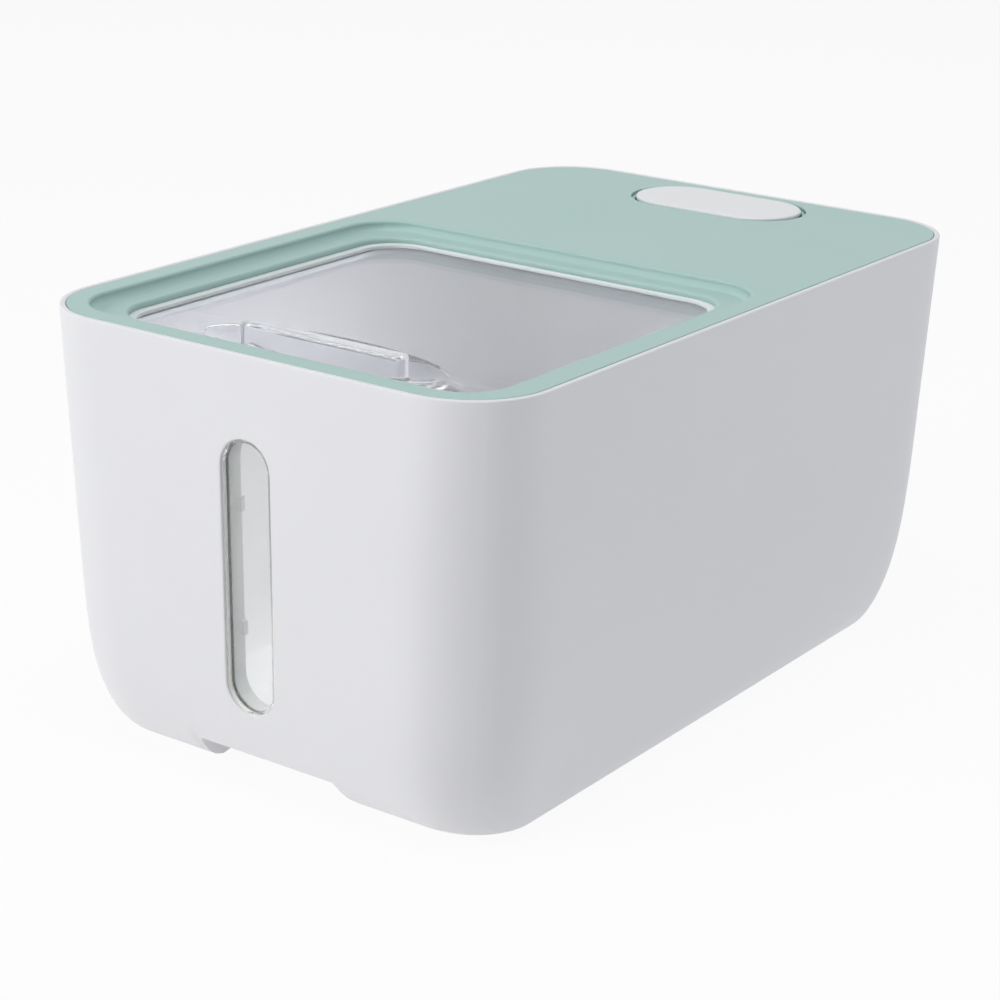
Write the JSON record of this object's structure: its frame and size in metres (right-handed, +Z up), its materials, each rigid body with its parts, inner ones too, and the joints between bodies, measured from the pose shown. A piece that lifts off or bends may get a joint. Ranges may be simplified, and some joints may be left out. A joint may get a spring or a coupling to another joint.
{
  "type": "pet food storage container",
  "caption": "Rounded rectangular food bin with a lift-off lid, a clear cover that slides back under the lid, a desiccant tray and an upright sight window.",
  "frame": {"origin": "centre of the underside, on the surface that the bin stands on", "axes": "+Z up, -Y towards the end with the sight window, +X to the right seen from that end"},
  "size_m": [0.23, 0.375, 0.1859],
  "materials": {
    "white_shell": "satin moulded polypropylene",
    "clear_plastic": "clear polished styrene",
    "silicone": "soft white silicone",
    "mint_lid": "satin moulded ABS",
    "white_runner": "smooth moulded acetal",
    "screw_steel": "zinc plated",
    "pack_paper": "non-woven paper",
    "white_cap": "smooth moulded ABS"
  },
  "bodies": {
    "bin": {"body_shell": "white_shell", "window_lens": "clear_plastic", "window_seal": "silicone", "window_retainer": "white_shell"},
    "lid": {"lid_frame": "mint_lid", "lid_seal": "silicone", "cover_seal": "silicone", "runner_left": "white_runner", "runner_right": "white_runner", "runner_screws": "screw_steel", "desiccant_tray": "mint_lid", "desiccant_pack": "pack_paper"},
    "cover": {"slide_cover": "clear_plastic"},
    "cap": {"desiccant_cap": "white_cap"}
  },
  "joints": [
    {"name": "lid_lift", "type": "slide", "parent": "bin", "child": "lid", "axis": [0, 0, 1], "range_m": [0, 0.12]},
    {"name": "cover_slide", "type": "slide", "parent": "lid", "child": "cover", "axis": [0, 1, 0], "range_m": [0, 0.15]},
    {"name": "cap_lift", "type": "slide", "parent": "lid", "child": "cap", "axis": [0, 0, 1], "range_m": [0, 0.02]}
  ]
}
